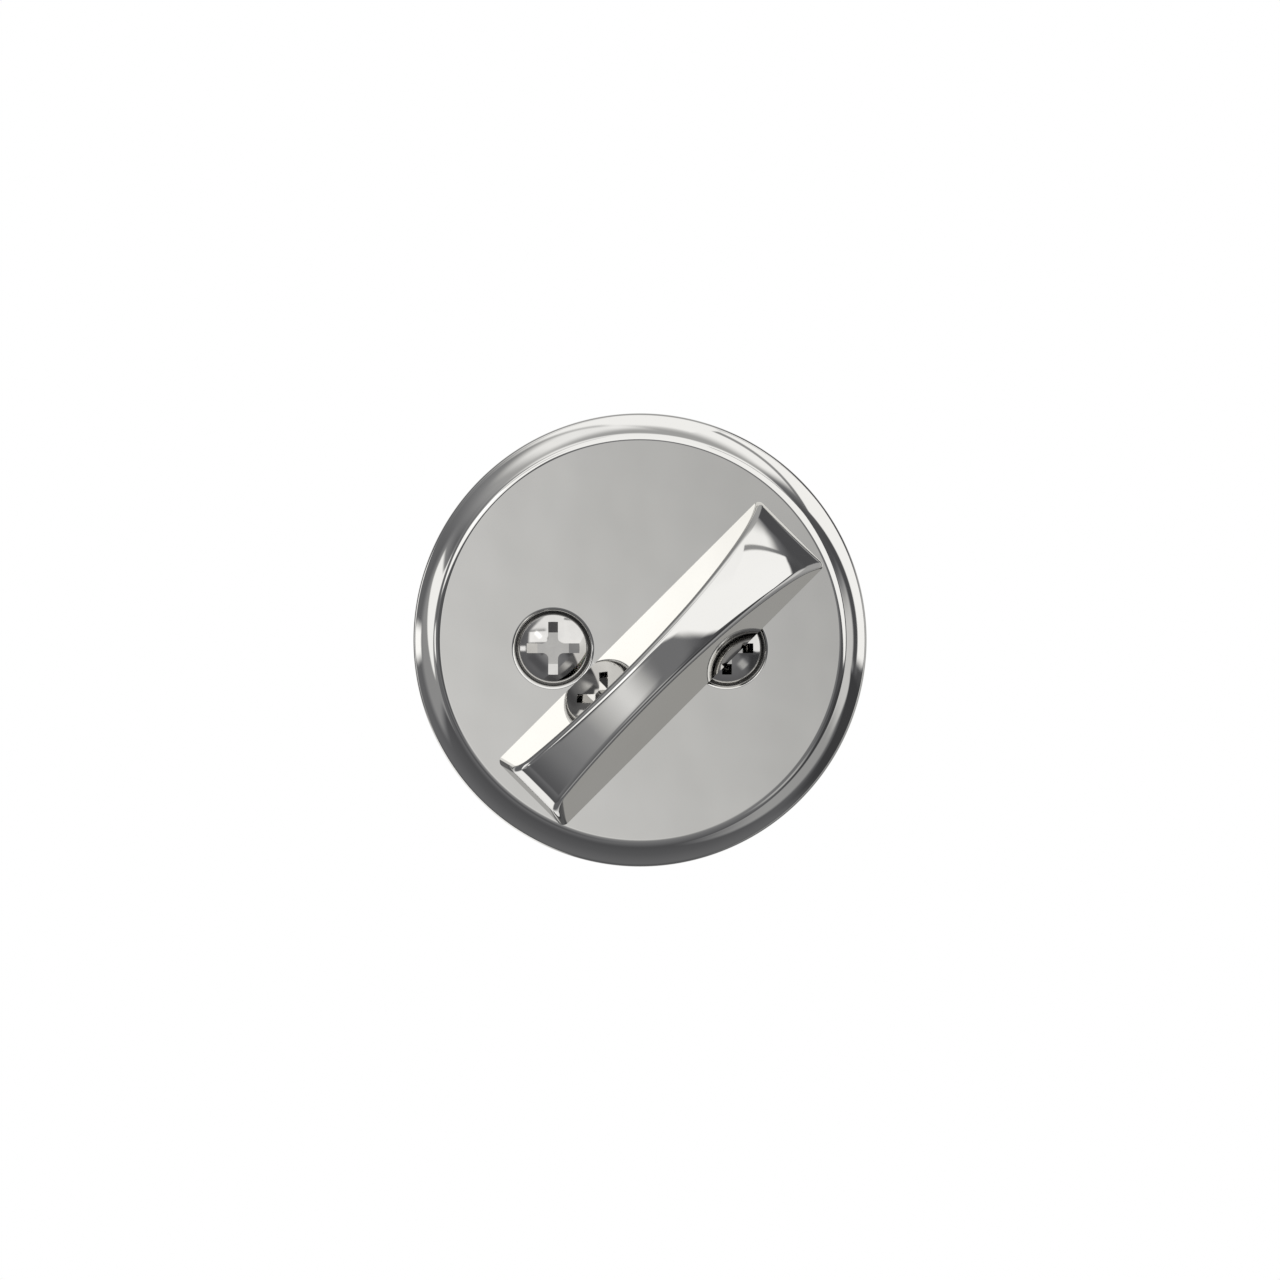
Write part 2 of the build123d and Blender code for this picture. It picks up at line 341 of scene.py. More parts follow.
behind = []
into_face = face_back + past
boss_corners = [(0, into_face), (boss_radius, into_face), (boss_radius, boss_setback), (0, boss_setback)]
behind.append(piece_from("boss", turned_solid(boss_corners, cup_steps), on_pivot))
for spot in screw_places:
    cup_corners = [(0, into_face), (cup_radius, into_face), (cup_radius, cup_back), (0, cup_back)]
    behind.append(piece_from("cup", turned_solid(cup_corners, cup_steps), spot))
for angle in rib_angles:
    rib = bar(hollow_radius, rib_thickness, rib_height + past / 2)
    out = Matrix.Translation((hollow_radius / 2, 0, face_back - rib_height / 2 + past / 4))
    behind.append(piece_from("rib", rib, Matrix.Rotation(radians(angle), 4, "Z") @ out))
fused(rose, "UNION", behind)

holes = []
bush_corners = [
    (0, rose_height + past),
    (bush_flange_radius, rose_height + past),
    (bush_flange_radius, bush_flange_seat),
    (bush_radius, bush_flange_seat),
    (bush_radius, -past),
    (0, -past),
]
holes.append(piece_from("bush_hole", turned_solid(bush_corners, spindle_steps), on_pivot))
for spot in screw_places:
    cup_hole_corners = [
        (0, rose_height + past),
        (recess_radius, rose_height + past),
        (recess_radius, head_seat),
        (screw_hole_radius, head_seat),
        (screw_hole_radius, -past),
        (0, -past),
    ]
    holes.append(piece_from("cup_hole", turned_solid(cup_hole_corners, cup_steps), spot))
fused(rose, "DIFFERENCE", holes)

bm = bmesh.new()
bm.from_mesh(rose.data)
lips = []
for edge in bm.edges:
    for spot in screw_places:
        reach = [(end.co - spot.translation) for end in edge.verts]
        on_face = all(abs(end.z - rose_height) < on_the_edge for end in reach)
        if on_face and all(abs(end.xy.length - recess_radius) < on_the_edge for end in reach):
            lips.append(edge)
bmesh.ops.bevel(bm, geom=lips, offset=lip_radius, segments=8, profile=0.5, affect="EDGES", material=-1)
bm.to_mesh(rose.data)
bm.free()
surfaced(rose, polished_nickel, casting_crease)
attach(rose, "base")
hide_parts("rose")

# Spindle bushing
# A flanged bush of natural acetal, moulded, that the spindle runs in.
# It is pressed into the boss from the front, and its flange carries the turn piece.
bush_bore_radius = 4.05
turn_base = 7.5
bush_round = 0.25
sharp_corner = radians(60)

acetal, tree, shader = new_finish("acetal")
place = add_node(tree, "TexCoord").outputs["Object"]
flow = add_node(tree, "TexNoise", {"Vector": place, "Scale": 220.0, "Detail": 5.0, "Distortion": 1.2})
milky = add_node(tree, "ValToRGB", {"Fac": flow.outputs["Fac"]})
milky.color_ramp.elements[0].position = 0.3
milky.color_ramp.elements[0].color = (0.77, 0.755, 0.695, 1)
milky.color_ramp.elements[1].position = 0.75
milky.color_ramp.elements[1].color = (0.86, 0.85, 0.81, 1)
tree.links.new(milky.outputs["Color"], shader.inputs["Base Color"])
grain = add_node(tree, "TexNoise", {"Vector": place, "Scale": 3500.0, "Detail": 2.0})
bump = add_node(tree, "Bump", {"Height": grain.outputs["Fac"], "Strength": 0.25, "Distance": 0.00003})
tree.links.new(bump.outputs["Normal"], shader.inputs["Normal"])
sheen = add_node(tree, "MapRange", {"Value": flow.outputs["Fac"], "To Min": 0.34, "To Max": 0.52})
tree.links.new(sheen.outputs["Result"], shader.inputs["Roughness"])
shader.inputs["Subsurface Weight"].default_value = 0.15
shader.inputs["Subsurface Scale"].default_value = 0.001

bm = turned_solid(
    [
        (bush_bore_radius, boss_setback),
        (bush_bore_radius, turn_base),
        (bush_flange_radius, turn_base),
        (bush_flange_radius, bush_flange_seat),
        (bush_radius, bush_flange_seat),
        (bush_radius, boss_setback),
        (bush_bore_radius, boss_setback),
    ],
    spindle_steps,
)
corners = [edge for edge in bm.edges if edge.calc_face_angle(0) > sharp_corner]
bmesh.ops.bevel(bm, geom=corners, offset=bush_round, segments=3, profile=0.5, affect="EDGES", material=-1)
bushing = piece_from("bushing", bm, on_pivot)
surfaced(bushing, acetal)
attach(bushing, "base")
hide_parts("spindle_bushing")

# Thumbturn
# The turn piece: an elliptic arch on a drafted bar, cast in one with its spindle and polished.
# It stands at 45 degrees on the bush; behind, a groove takes the clip and a slot the drive blade.
turn_angle = 45
turn_half_width = 6.85
turn_long_reach = 31.4
turn_short_reach = 22.7
turn_height = 12.0
turn_side_draft = 19
turn_end_draft = 6
turn_end_radius = 3.85
turn_edge_width = 1.3
crown_radius = 25
crown_fade = 3.0
crown_start = 2.0
crown_full = 10.0
crown_edge_drop = 0.35
edge_drop_start = 14.0
edge_drop_full = 23.0
edge_drop_power = 4
crown_cuts = 3
side_facing = 0.8
arch_steps = 120
pin_steps = 48
spindle_radius = 4.0
groove_radius = 3.2
groove_top = -1.5
groove_back = -2.5
spindle_end = -13.5
spindle_chamfer = 0.5
slot_width = 2.5
slot_depth = 9.0
pin_level = -8.9
pin_radius = 1.0
turned = on_pivot @ Matrix.Rotation(radians(turn_angle), 4, "Z")

lean = turn_height * tan(radians(turn_end_draft))
swing = atan2(lean, turn_long_reach)
corner_turn = 64
corner_angle = acos(-turn_short_reach / sqrt(turn_long_reach**2 + lean**2)) - swing
corner_run = 0.102
bm = bmesh.new()
tip = bm.verts.new((turn_long_reach, 0, 0))
tip = rounded(bm, tip, 0, 0, -(corner_angle - corner_run) * 180 / pi, arch_steps)
corner = straight(bm, tip, turn_long_reach * cos(corner_angle), turn_long_reach * sin(corner_angle))
bmesh.ops.scale(bm, vec=(1, 1, turn_height / turn_long_reach), verts=bm.verts)
straight(bm, corner, -turn_short_reach, 0)
bmesh.ops.bevel(
    bm,
    geom=[corner],
    offset=turn_end_radius * tan(radians(corner_turn / 2)),
    segments=16,
    profile=0.5,
    affect="VERTICES",
    material=-1,
)
bmesh.ops.contextual_create(bm, geom=bm.edges[:])
bmesh.ops.translate(bm, vec=(0, -turn_half_width, 0), verts=bm.verts)
across = bmesh.ops.extrude_face_region(bm, geom=bm.faces[:])["geom"]
far_side = [point for point in across if isinstance(point, bmesh.types.BMVert)]
bmesh.ops.translate(bm, vec=(0, 2 * turn_half_width, 0), verts=far_side)
on_the_base = 0.001
strips = [edge for edge in bm.edges if min(end.co.z for end in edge.verts) > on_the_base]
strips = [edge for edge in strips if abs(edge.verts[0].co.y - edge.verts[1].co.y) > turn_half_width]
bmesh.ops.subdivide_edges(bm, edges=strips, cuts=crown_cuts, use_grid_fill=True)
draft = tan(radians(turn_side_draft)) / turn_half_width
for point in bm.verts:
    off_middle = point.co.y * (1 - point.co.z * draft)
    crowned = max(0, min(1, (point.co.x - crown_start) / (crown_full - crown_start)))
    crowned *= min(1, point.co.z / crown_fade)
    crown_drop = off_middle**2 / (2 * crown_radius)
    near_tip = max(0, min(1, (point.co.x - edge_drop_start) / (edge_drop_full - edge_drop_start)))
    crown_drop += near_tip * crown_edge_drop * (point.co.y / turn_half_width) ** edge_drop_power
    point.co.z -= crowned * crown_drop
    point.co.y *= 1 - point.co.z * draft
bmesh.ops.recalc_face_normals(bm, faces=bm.faces)
sides = [face for face in bm.faces if abs(face.normal.y) > side_facing]
top_rim = []
for edge in bm.edges:
    on_side = any(face in sides for face in edge.link_faces)
    if on_side and max(end.co.z for end in edge.verts) > on_the_base:
        top_rim.append(edge)
bmesh.ops.bevel(
    bm,
    geom=top_rim,
    offset=turn_edge_width,
    offset_type="WIDTH",
    segments=8,
    profile=0.5,
    affect="EDGES",
    material=-1,
)
thumbturn = piece_from("thumbturn_cast", bm, Matrix.Translation((0, 0, turn_base)))

spindle_corners = [
    (0, turn_base + past),
    (spindle_radius, turn_base + past),
    (spindle_radius, groove_top),
    (groove_radius, groove_top),
    (groove_radius, groove_back),
    (spindle_radius, groove_back),
    (spindle_radius, spindle_end + spindle_chamfer),
    (spindle_radius - spindle_chamfer, spindle_end),
    (0, spindle_end),
]
spindle = piece_from("spindle", turned_solid(spindle_corners, spindle_steps))
slot_place = Matrix.Translation((0, 0, spindle_end + slot_depth / 2 - past / 2))
slot = piece_from("slot", bar(4 * spindle_radius, slot_width, slot_depth + past), slot_place)
lying = Matrix.Rotation(radians(90), 4, "X")
pin_reach = 2 * spindle_radius
pin_corners = [(0, -pin_reach), (pin_radius, -pin_reach), (pin_radius, pin_reach), (0, pin_reach)]
pin_place = Matrix.Translation((0, 0, pin_level)) @ lying
pin_hole = piece_from("pin_hole", turned_solid(pin_corners, pin_steps), pin_place)
fused(spindle, "DIFFERENCE", [slot, pin_hole])
fused(thumbturn, "UNION", [spindle])
thumbturn.data.transform(turned)
surfaced(thumbturn, polished_nickel, casting_crease)
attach(thumbturn, "turn")
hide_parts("thumbturn")

# Spring washer
# A ring punched from spring steel strip and bowed, then hardened and oiled.
# It presses between the boss and the thrust washer, so the turn stays where it is put.
washer_radius = 7.0
spring_inner_radius = 4.4
spring_thickness = 0.5
spring_bow = 0.66
spring_gap = 0.02
spring_crown = boss_setback - spring_gap
spring_back = spring_crown - spring_thickness
punch_rollover = 0.12
washer_steps = 128

spring_steel, tree, shader = new_finish("spring_steel")
tree.links.new(
    place_group(tree, plated_tone, Light=(0.33, 0.33, 0.345, 1), Dark=(0.2, 0.195, 0.2, 1), Scale=420),
    shader.inputs["Base Color"],
)
tree.links.new(
    place_group(tree, polish_haze, Bright=0.24, Hazy=0.42, Scale=500, Hairlines=0.4),
    shader.inputs["Roughness"],
)
shader.inputs["Metallic"].default_value = 1
place = add_node(tree, "TexCoord").outputs["Object"]
scale_marks = add_node(tree, "TexNoise", {"Vector": place, "Scale": 1800.0, "Detail": 3.0})
bump = add_node(tree, "Bump", {"Height": scale_marks.outputs["Fac"], "Strength": 0.3, "Distance": 0.00002})
tree.links.new(bump.outputs["Normal"], shader.inputs["Normal"])


def flat_ring(outer_radius, inner_radius, bottom, top, steps, rollover):
    """A punched ring: flat faces, with the rolled edges that a punch leaves."""
    bm = turned_solid(
        [
            (inner_radius, bottom),
            (outer_radius, bottom),
            (outer_radius, top),
            (inner_radius, top),
            (inner_radius, bottom),
        ],
        steps,
    )
    corners = [edge for edge in bm.edges if edge.calc_face_angle(0) > sharp_corner]
    bmesh.ops.bevel(bm, geom=corners, offset=rollover, segments=3, profile=0.5, affect="EDGES", material=-1)
    return bm


bend_radius = (washer_radius**2 + spring_bow**2) / (2 * spring_bow)
bm = flat_ring(
    washer_radius, spring_inner_radius, spring_back, spring_crown, washer_steps, punch_rollover
)
for point in bm.verts:
    point.co.z -= bend_radius - sqrt(bend_radius**2 - point.co.y**2)
spring_washer = piece_from("bowed_washer", bm, on_pivot)
surfaced(spring_washer, spring_steel)
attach(spring_washer, "base")
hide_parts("spring_washer")

# Thrust washer
# A flat washer punched from steel and bright zinc plated.
# It lies loose on the spindle between the spring washer and the clip, and takes their rubbing.
thrust_inner_radius = 4.1
thrust_top = -0.8
thrust_back = -1.6

zinc, tree, shader = new_finish("bright_zinc")
tree.links.new(
    place_group(tree, plated_tone, Light=(0.66, 0.68, 0.7, 1), Dark=(0.52, 0.53, 0.53, 1), Scale=260),
    shader.inputs["Base Color"],
)
tree.links.new(
    place_group(tree, polish_haze, Bright=0.2, Hazy=0.42, Scale=340, Hairlines=0.5),
    shader.inputs["Roughness"],
)
shader.inputs["Metallic"].default_value = 1
place = add_node(tree, "TexCoord").outputs["Object"]
spangle = add_node(tree, "TexVoronoi", {"Vector": place, "Scale": 1400.0})
spangle = spangle.outputs["Distance"]
bump = add_node(tree, "Bump", {"Height": spangle, "Strength": 0.12, "Distance": 0.00002})
tree.links.new(bump.outputs["Normal"], shader.inputs["Normal"])

bm = flat_ring(washer_radius, thrust_inner_radius, thrust_back, thrust_top, washer_steps, punch_rollover)
thrust_washer = piece_from("flat_washer", bm, on_pivot)
surfaced(thrust_washer, zinc)
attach(thrust_washer, "base")
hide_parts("thrust_washer")

# Retaining clip
# An E-clip stamped from spring steel, hardened and oiled.
# It is pushed on from the side, and its three prongs spring into the groove of the spindle.
clip_radius = 6.7
clip_band = 2.0
clip_mouth = 6.0
clip_prong_width = 2.4
clip_prong_angles = (180, 70, 290)
clip_thickness = 0.9
clip_middle = groove_back + clip_thickness / 2

clip_outer = [(0, groove_back), (clip_radius, groove_back), (clip_radius, thrust_back), (0, thrust_back)]
clip = piece_from("e_clip", turned_solid(clip_outer, washer_steps))
inner_radius = clip_radius - clip_band
prongs = []
for angle in clip_prong_angles:
    out = Matrix.Translation((inner_radius / 2, 0, clip_middle))
    prong = bar(inner_radius + past, clip_prong_width, clip_thickness)
    prongs.append(piece_from("prong", prong, Matrix.Rotation(radians(angle), 4, "Z") @ out))
cut_back = groove_back - past
cut_top = thrust_back + past
inside = [(0, cut_back), (inner_radius, cut_back), (inner_radius, cut_top), (0, cut_top)]
groove = [(0, cut_back), (groove_radius, cut_back), (groove_radius, cut_top), (0, cut_top)]
mouth = bar(clip_radius + past, clip_mouth, 3 * clip_thickness)
mouth_place = Matrix.Translation(((clip_radius + past) / 2, 0, clip_middle))
clip_cuts = [piece_from("inside", turned_solid(inside, spindle_steps))]
clip_cuts.append(piece_from("mouth", mouth, mouth_place))
fused(clip, "DIFFERENCE", clip_cuts)
fused(clip, "UNION", prongs)
fused(clip, "DIFFERENCE", [piece_from("groove", turned_solid(groove, spindle_steps))])
clip.data.transform(turned)
surfaced(clip, spring_steel)
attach(clip, "turn")
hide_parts("retaining_clip")

# Tailpiece
# The flat drive blade: drawn steel strip, cropped to length with a tapered tip.
# It is pinned in the slot of the spindle and reaches into the bolt.
blade_half_width = 3.2
blade_thickness = 2.4
blade_start = -4.8
blade_end = -30.4
blade_tip_taper = 1.2
blade_tip_length = 2.0
blade_round = 0.2
blade_hole_radius = 1.05

blade_steel, tree, shader = new_finish("drawn_steel")
tree.links.new(
    place_group(tree, plated_tone, Light=(0.6, 0.6, 0.59, 1), Dark=(0.47, 0.465, 0.455, 1), Scale=300),
    shader.inputs["Base Color"],
)
shader.inputs["Metallic"].default_value = 1
place = add_node(tree, "TexCoord").outputs["Object"]
along = add_node(tree, "Mapping", {"Vector": place, "Scale": (1, 0.02, 1)})
drawn = add_node(tree, "TexNoise", {"Vector": along.outputs[0], "Scale": 5000.0, "Detail": 3.0})
dull = add_node(tree, "MapRange", {"Value": drawn.outputs["Fac"], "To Min": 0.2, "To Max": 0.46})
tree.links.new(dull.outputs["Result"], shader.inputs["Roughness"])
bump = add_node(tree, "Bump", {"Height": drawn.outputs["Fac"], "Strength": 0.35, "Distance": 0.00003})
tree.links.new(bump.outputs["Normal"], shader.inputs["Normal"])

bm = bmesh.new()
tip = bm.verts.new((-blade_half_width, 0, blade_start))
tip = straight(bm, tip, blade_half_width, blade_start)
tip = straight(bm, tip, blade_half_width, blade_end + blade_tip_length)
tip = straight(bm, tip, blade_half_width - blade_tip_taper, blade_end)
tip = straight(bm, tip, blade_tip_taper - blade_half_width, blade_end)
tip = straight(bm, tip, -blade_half_width, blade_end + blade_tip_length)
bmesh.ops.contextual_create(bm, geom=bm.edges[:])
bmesh.ops.translate(bm, vec=(0, -blade_thickness / 2, 0), verts=bm.verts)
across = bmesh.ops.extrude_face_region(bm, geom=bm.faces[:])["geom"]
far_side = [point for point in across if isinstance(point, bmesh.types.BMVert)]
bmesh.ops.translate(bm, vec=(0, blade_thickness, 0), verts=far_side)
bmesh.ops.recalc_face_normals(bm, faces=bm.faces)
corners = bm.edges[:]
bmesh.ops.bevel(bm, geom=corners, offset=blade_round, segments=3, profile=0.5, affect="EDGES", material=-1)
tailpiece = piece_from("drive_blade", bm)
hole_corners = [
    (0, -blade_thickness),
    (blade_hole_radius, -blade_thickness),
    (blade_hole_radius, blade_thickness),
    (0, blade_thickness),
]
blade_hole = piece_from("blade_hole", turned_solid(hole_corners, pin_steps), pin_place)
fused(tailpiece, "DIFFERENCE", [blade_hole])
tailpiece.data.transform(turned)
surfaced(tailpiece, blade_steel)
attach(tailpiece, "turn")
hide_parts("tailpiece")

# Tailpiece pin
# A slotted pin rolled from spring steel strip.
# It is driven through the spindle and the blade, and its own spring holds it there.
pin_wall = 0.4
pin_slit = 0.5
pin_half_length = 3.5

slit_angle = 2 * asin(pin_slit / 2 / pin_radius)
bm = bmesh.new()
tip = bm.verts.new((pin_radius, 0, -pin_half_length))
tip = straight(bm, tip, pin_radius, pin_half_length)
tip = straight(bm, tip, pin_radius - pin_wall, pin_half_length)
tip = straight(bm, tip, pin_radius - pin_wall, -pin_half_length)
bmesh.ops.contextual_create(bm, geom=bm.edges[:])
bmesh.ops.rotate(bm, cent=(0, 0, 0), matrix=Matrix.Rotation(slit_angle / 2, 3, "Z"), verts=bm.verts)
bmesh.ops.spin(
    bm,
    geom=bm.faces[:],
    cent=(0, 0, 0),
    axis=(0, 0, 1),
    angle=2 * pi - slit_angle,
    steps=pin_steps,
    use_duplicate=False,
)
bmesh.ops.holes_fill(bm, edges=bm.edges, sides=0)
bmesh.ops.recalc_face_normals(bm, faces=bm.faces)
pin = piece_from("spring_pin", bm, turned @ pin_place)
surfaced(pin, spring_steel)
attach(pin, "turn")
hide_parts("tailpiece_pin")

# Anchor plate
# A round plate punched from steel and zinc plated, deep in the door behind the bolt case.
# The screws pull it towards the rose, and that clamps the unit to the door.
plate_radius = 24.0
plate_front = -32.0
plate_back = -34.0
plate_round = 0.4
tenon_radius = 3.2
plate_steps = 192
tenon_steps = 64

plate_corners = [(0, plate_front), (plate_radius, plate_front), (plate_radius, plate_back), (0, plate_back)]
bm = turned_solid(plate_corners, plate_steps)
corners = [edge for edge in bm.edges if edge.calc_face_angle(0) > sharp_corner]
bmesh.ops.bevel(bm, geom=corners, offset=plate_round, segments=3, profile=0.5, affect="EDGES", material=-1)
anchor_plate = piece_from("anchor_disc", bm)
tenon_holes = []
for spot in screw_places:
    hole_corners = [
        (0, plate_front + past),
        (tenon_radius, plate_front + past),
        (tenon_radius, plate_back - past),
        (0, plate_back - past),
    ]
    tenon_holes.append(piece_from("tenon_hole", turned_solid(hole_corners, tenon_steps), spot))
fused(anchor_plate, "DIFFERENCE", tenon_holes)
surfaced(anchor_plate, zinc)
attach(anchor_plate, "base")
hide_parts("anchor_plate")

# Threaded posts
# Two posts turned from steel bar, tapped right through and zinc plated.
# Their tenons pass the anchor plate and are staked over behind it.
post_radius = 4.0
post_top = -20.0
post_chamfer = 0.5
stake_height = 0.5
post_bore_radius = 2.55
bore_chamfer = 0.35
post_steps = 96

posts = []
for spot in screw_places:
    bm = turned_solid(
        [
            (post_bore_radius, plate_back - stake_height + bore_chamfer),
            (post_bore_radius, post_top - bore_chamfer),
            (post_bore_radius + bore_chamfer, post_top),
            (post_radius - post_chamfer, post_top),
            (post_radius, post_top - post_chamfer),
            (post_radius, plate_front),
            (tenon_radius, plate_front),
            (tenon_radius, plate_back),
            (post_radius, plate_back),
            (post_radius, plate_back - stake_height / 2),
            (post_radius - stake_height / 2, plate_back - stake_height),
            (post_bore_radius + bore_chamfer, plate_back - stake_height),
            (post_bore_radius, plate_back - stake_height + bore_chamfer),
        ],
        post_steps,
    )
    posts.append(piece_from("post", bm, spot))
fused(posts[0], "UNION", [posts[1]])
threaded_posts = posts[0]
threaded_posts.name = "tapped_posts"
surfaced(threaded_posts, zinc)
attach(threaded_posts, "base")
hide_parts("threaded_posts")

# Mounting screws
# Two dome-head machine screws with a cross recess, cold headed, rolled and nickel plated.
# They sit in the cups of the rose and run through the bolt case into the posts.
head_radius = 5.35
head_top = 7.15
head_rim = 5.55
shank_end = -29.25
thread_radius = 2.5
thread_root = 2.0
thread_pitch = 0.8
thread_crest = 0.1
tip_chamfer = 0.8
cross_reach = 5.0
cross_bottom_reach = 2.3
cross_half_width = 0.71
cross_corner = 0.85
cross_depth = 1.9
dome_steps = 32
head_steps = 128
thread_steps = 40
thread_run_out = 1.5
spare_turns = 3
thread_seam = 0.001
shank_overlap = 0.3
screw_crease = 25

nickel_screw, tree, shader = new_finish("nickel_screw")
tree.links.new(
    place_group(tree, plated_tone, Light=(0.65, 0.64, 0.62, 1), Dark=(0.57, 0.56, 0.545, 1), Scale=380),
    shader.inputs["Base Color"],
)
tree.links.new(
    place_group(tree, polish_haze, Bright=0.04, Hazy=0.09, Scale=420, Hairlines=0.3),
    shader.inputs["Roughness"],
)
shader.inputs["Metallic"].default_value = 1

dome_rise = head_top - head_rim
dome_radius = (head_radius**2 + dome_rise**2) / (2 * dome_rise)
screws = []
for spot in screw_places:
    bm = bmesh.new()
    tip = bm.verts.new((0, 0, head_top))
    dome_angle = asin(head_radius / dome_radius) * 180 / pi
    tip = rounded(bm, tip, 0, head_top - dome_radius, dome_angle, dome_steps)
    tip = straight(bm, tip, head_radius, head_seat)
    tip = straight(bm, tip, 0, head_seat)
    turned_on_lathe(bm, head_steps)
    head = piece_from("head", bm)

    bm = bmesh.new()
    bmesh.ops.create_grid(bm, x_segments=1, y_segments=1, size=cross_half_width)
    for edge in bm.edges[:]:
        away = (edge.verts[0].co + edge.verts[1].co).normalized() * (cross_reach - cross_half_width)
        arm = bmesh.ops.extrude_edge_only(bm, edges=[edge])["geom"]
        ends = [point for point in arm if isinstance(point, bmesh.types.BMVert)]
        bmesh.ops.translate(bm, vec=away, verts=ends)
    bmesh.ops.dissolve_faces(bm, faces=bm.faces[:])
    inner = [point for point in bm.verts if point.co.length < 2 * cross_half_width]
    bmesh.ops.bevel(
        bm, geom=inner, offset=cross_corner, segments=8, profile=0.5, affect="VERTICES", material=-1
    )
    bmesh.ops.translate(bm, vec=(0, 0, head_top), verts=bm.verts)
    sunk = bmesh.ops.extrude_face_region(bm, geom=bm.faces[:])["geom"]
    floor_points = [point for point in sunk if isinstance(point, bmesh.types.BMVert)]
    for point in floor_points:
        point.co.x = max(-cross_bottom_reach, min(cross_bottom_reach, point.co.x))
        point.co.y = max(-cross_bottom_reach, min(cross_bottom_reach, point.co.y))
        point.co.z -= cross_depth
    bmesh.ops.recalc_face_normals(bm, faces=bm.faces)
    cross = piece_from("cross", bm)
    fused(head, "DIFFERENCE", [cross])

    bm = bmesh.new()
    turns = int((head_seat - shank_end) / thread_pitch) + spare_turns
    tip = bm.verts.new((thread_root, 0, shank_end - thread_run_out * thread_pitch))
    for turn in range(turns):
        low = shank_end + (turn - thread_run_out) * thread_pitch
        tip = straight(bm, tip, thread_root, low + thread_crest)
        tip = straight(bm, tip, thread_radius, low + thread_pitch / 2 - thread_crest / 2)
        tip = straight(bm, tip, thread_radius, low + thread_pitch / 2 + thread_crest / 2)
        tip = straight(bm, tip, thread_root, low + thread_pitch)
    bmesh.ops.spin(
        bm,
        geom=bm.verts[:] + bm.edges[:],
        cent=(0, 0, 0),
        axis=(0, 0, 1),
        dvec=(0, 0, thread_pitch / thread_steps),
        angle=2 * pi,
        steps=thread_steps,
    )
    bmesh.ops.remove_doubles(bm, verts=bm.verts, dist=thread_seam)
    for level, out in ((shank_end, -1), (head_seat + shank_overlap, 1)):
        bmesh.ops.bisect_plane(
            bm,
            geom=bm.verts[:] + bm.edges[:] + bm.faces[:],
            plane_co=(0, 0, level),
            plane_no=(0, 0, out),
            clear_outer=True,
        )
    bmesh.ops.holes_fill(bm, edges=bm.edges, sides=0)
    bmesh.ops.recalc_face_normals(bm, faces=bm.faces)
    for point in bm.verts:
        reach = thread_radius - max(0, tip_chamfer - (point.co.z - shank_end))
        if point.co.xy.length > reach:
            point.co.xy = point.co.xy.normalized() * reach
    shank = piece_from("shank", bm)
    fused(head, "UNION", [shank])
    head.data.transform(spot)
    screws.append(head)
fused(screws[0], "UNION", [screws[1]])
mounting_screws = screws[0]
mounting_screws.name = "dome_screws"
surfaced(mounting_screws, nickel_screw, screw_crease)
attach(mounting_screws, "base")
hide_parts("mounting_screws")

# Floor
# A pale matt board under the unit.
# It fades out into the white behind it and keeps the unit's shadow.
floor_level = -0.13
floor_radius = 0.36
floor_fade_start = 0.2
floor_steps = 96
pale, tree, shader = new_finish("pale_board")
shader.inputs["Base Color"].default_value = (0.86, 0.86, 0.85, 1)
shader.inputs["Roughness"].default_value = 0.9
place = add_node(tree, "TexCoord").outputs["Object"]
from_middle = add_node(tree, "VectorMath", {0: place}, operation="LENGTH")
fade = add_node(
    tree,
    "MapRange",
    {
        "Value": from_middle.outputs["Value"],
        "From Min": floor_fade_start,
        "From Max": floor_radius,
        "To Min": 1.0,
        "To Max": 0.0,
    },
    interpolation_type="SMOOTHSTEP",
)
tree.links.new(fade.outputs["Result"], shader.inputs["Alpha"])
bm = bmesh.new()
bmesh.ops.create_circle(bm, cap_ends=True, radius=floor_radius, segments=floor_steps)
floor = piece_from("floor", bm)
floor.location = (0, 0, floor_level)
floor.data.materials.append(pale)
floor.visible_glossy = False

# Studio
# White round the unit, with soft boxes and dark flags in the room that the polished metal shows.
# Each is placed by the slope that mirrors it to the lens: sideways and upwards, 0 is the lens itself.
white = (1, 1, 1, 1)
cool = (0.93, 0.94, 1, 1)
cool_level = 0.1
white_level = 0.5
soft_light = 0.8
least_facing = 0.02
studio = bpy.data.worlds.new("studio")
bpy.context.scene.world = studio
studio.use_nodes = True
tree = studio.node_tree
tree.nodes.clear()


def grey(level):
    """A neutral colour of one level."""
    return (level, level, level, 1)


straight_edge, given, result = new_group(
    "straight_edge",
    {"Slope": "Vector", "Facing": "Vector", "Distance": "Float", "Soft": "Float"},
    {"Inside": "Float"},
)
reach = add_node(
    straight_edge, "VectorMath", {0: given["Slope"], 1: given["Facing"]}, operation="DOT_PRODUCT"
).outputs["Value"]
over = add_node(straight_edge, "Math", {0: reach, 1: given["Distance"]}, operation="SUBTRACT")
inner = add_node(straight_edge, "Math", {0: given["Soft"], 1: -1.0}, operation="MULTIPLY")
inside = add_node(
    straight_edge,
    "MapRange",
    {"Value": over.outputs[0], "From Min": given["Soft"], "From Max": inner.outputs[0]},
    interpolation_type="SMOOTHSTEP",
)
straight_edge.links.new(inside.outputs["Result"], result["Inside"])

